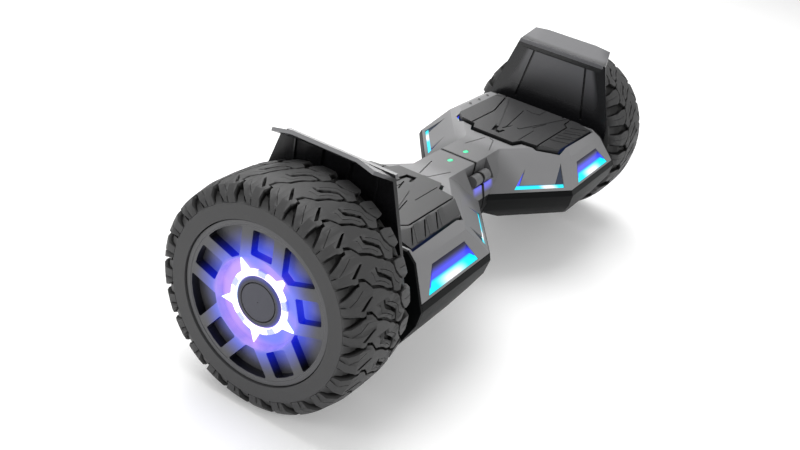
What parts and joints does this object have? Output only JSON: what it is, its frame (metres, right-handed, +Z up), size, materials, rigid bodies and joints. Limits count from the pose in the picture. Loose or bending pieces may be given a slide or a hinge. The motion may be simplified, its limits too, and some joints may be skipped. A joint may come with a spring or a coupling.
{
  "type": "self balancing hoverboard",
  "caption": "Two-wheeled self balancing hoverboard: two hinged halves with foot pads, fenders, light windows, and hub-motor wheels with all-terrain tyres.",
  "frame": {"origin": "on the floor, midway between the wheels, under the seam between the two halves", "axes": "+X along the wheel axle to the right half, +Z up, -Y the front"},
  "size_m": [0.6866, 0.216, 0.2365],
  "materials": {
    "shell_grey": "satin moulded ABS, mid grey",
    "black_plastic": "satin black moulded plastic",
    "fender_black": "semi-gloss black moulded plastic",
    "pad_rubber": "dark grey moulded rubber",
    "tyre_rubber": "dark all-terrain tyre rubber",
    "hub_grey": "dark grey satin wheel cover",
    "cast_aluminium": "cast, unpainted",
    "steel": "machined",
    "copper": "copper windings on laminations",
    "bronze": "sintered bronze",
    "light_cyan": "lit cyan light guide",
    "light_hub": "lit blue white light ring",
    "light_green": "lit green light pipe",
    "circuit_green": "solder mask",
    "battery_wrap": "blue shrink wrap over cells"
  },
  "bodies": {
    "half_l": {"top_shell_l": "shell_grey", "bottom_shell_l": "black_plastic", "side_plate_l": "black_plastic", "fender_l": "fender_black", "sensor_board_l": "circuit_green", "chassis_l": "cast_aluminium", "axle_clamp_l": "cast_aluminium", "motor_axle_l": "steel", "motor_stator_l": "copper", "front_light_l": "light_cyan", "rear_light_l": "light_cyan", "front_slit_light_l": "light_cyan", "rear_slit_light_l": "light_cyan", "status_light_l": "light_green", "pivot_bush_l": "bronze", "gyro_board_l": "circuit_green", "pivot_tube": "steel", "pivot_circlip": "steel", "seam_gasket": "pad_rubber", "main_board": "circuit_green"},
    "half_r": {"top_shell_r": "shell_grey", "bottom_shell_r": "black_plastic", "side_plate_r": "black_plastic", "fender_r": "fender_black", "sensor_board_r": "circuit_green", "chassis_r": "cast_aluminium", "axle_clamp_r": "cast_aluminium", "motor_axle_r": "steel", "motor_stator_r": "copper", "front_light_r": "light_cyan", "rear_light_r": "light_cyan", "front_slit_light_r": "light_cyan", "rear_slit_light_r": "light_cyan", "status_light_r": "light_green", "pivot_bush_r": "bronze", "gyro_board_r": "circuit_green", "battery_pack": "battery_wrap", "charge_socket": "steel"},
    "wheel_l": {"tyre_l": "tyre_rubber", "hub_cover_l": "hub_grey", "hub_light_l": "light_hub", "hub_cap_l": "hub_grey", "motor_drum_l": "cast_aluminium", "wheel_bearing_in_l": "steel", "wheel_bearing_out_l": "steel"},
    "wheel_r": {"tyre_r": "tyre_rubber", "hub_cover_r": "hub_grey", "hub_light_r": "light_hub", "hub_cap_r": "hub_grey", "motor_drum_r": "cast_aluminium", "wheel_bearing_in_r": "steel", "wheel_bearing_out_r": "steel"},
    "pad_l": {"footpad_l": "pad_rubber"},
    "pad_r": {"footpad_r": "pad_rubber"},
    "button": {"power_button": "black_plastic"},
    "flap": {"charge_cap": "pad_rubber"}
  },
  "joints": [
    {"name": "centre_twist", "type": "hinge", "parent": "half_l", "child": "half_r", "pos_m": [0, 0, 0.104], "axis": [1, 0, 0], "range_deg": [-12, 12]},
    {"name": "wheel_l_spin", "type": "hinge", "parent": "half_l", "child": "wheel_l", "pos_m": [-0.3003, 0, 0.108], "axis": [1, 0, 0], "continuous": true},
    {"name": "wheel_r_spin", "type": "hinge", "parent": "half_r", "child": "wheel_r", "pos_m": [0.3003, 0, 0.108], "axis": [1, 0, 0], "continuous": true},
    {"name": "pad_l_press", "type": "slide", "parent": "half_l", "child": "pad_l", "axis": [0, 0, -1], "range_m": [0, 0.002], "stiffness_N_per_m": 9000, "springref_m": -0.001},
    {"name": "pad_r_press", "type": "slide", "parent": "half_r", "child": "pad_r", "axis": [0, 0, -1], "range_m": [0, 0.002], "stiffness_N_per_m": 9000, "springref_m": -0.001},
    {"name": "power_press", "type": "slide", "parent": "half_r", "child": "button", "axis": [0, 0, 1], "range_m": [0, 0.0015], "stiffness_N_per_m": 400, "springref_m": -0.001},
    {"name": "flap_open", "type": "hinge", "parent": "half_r", "child": "flap", "pos_m": [0.19, 0.0415, 0.0427], "axis": [1, 0, 0], "range_deg": [0, 110]}
  ]
}
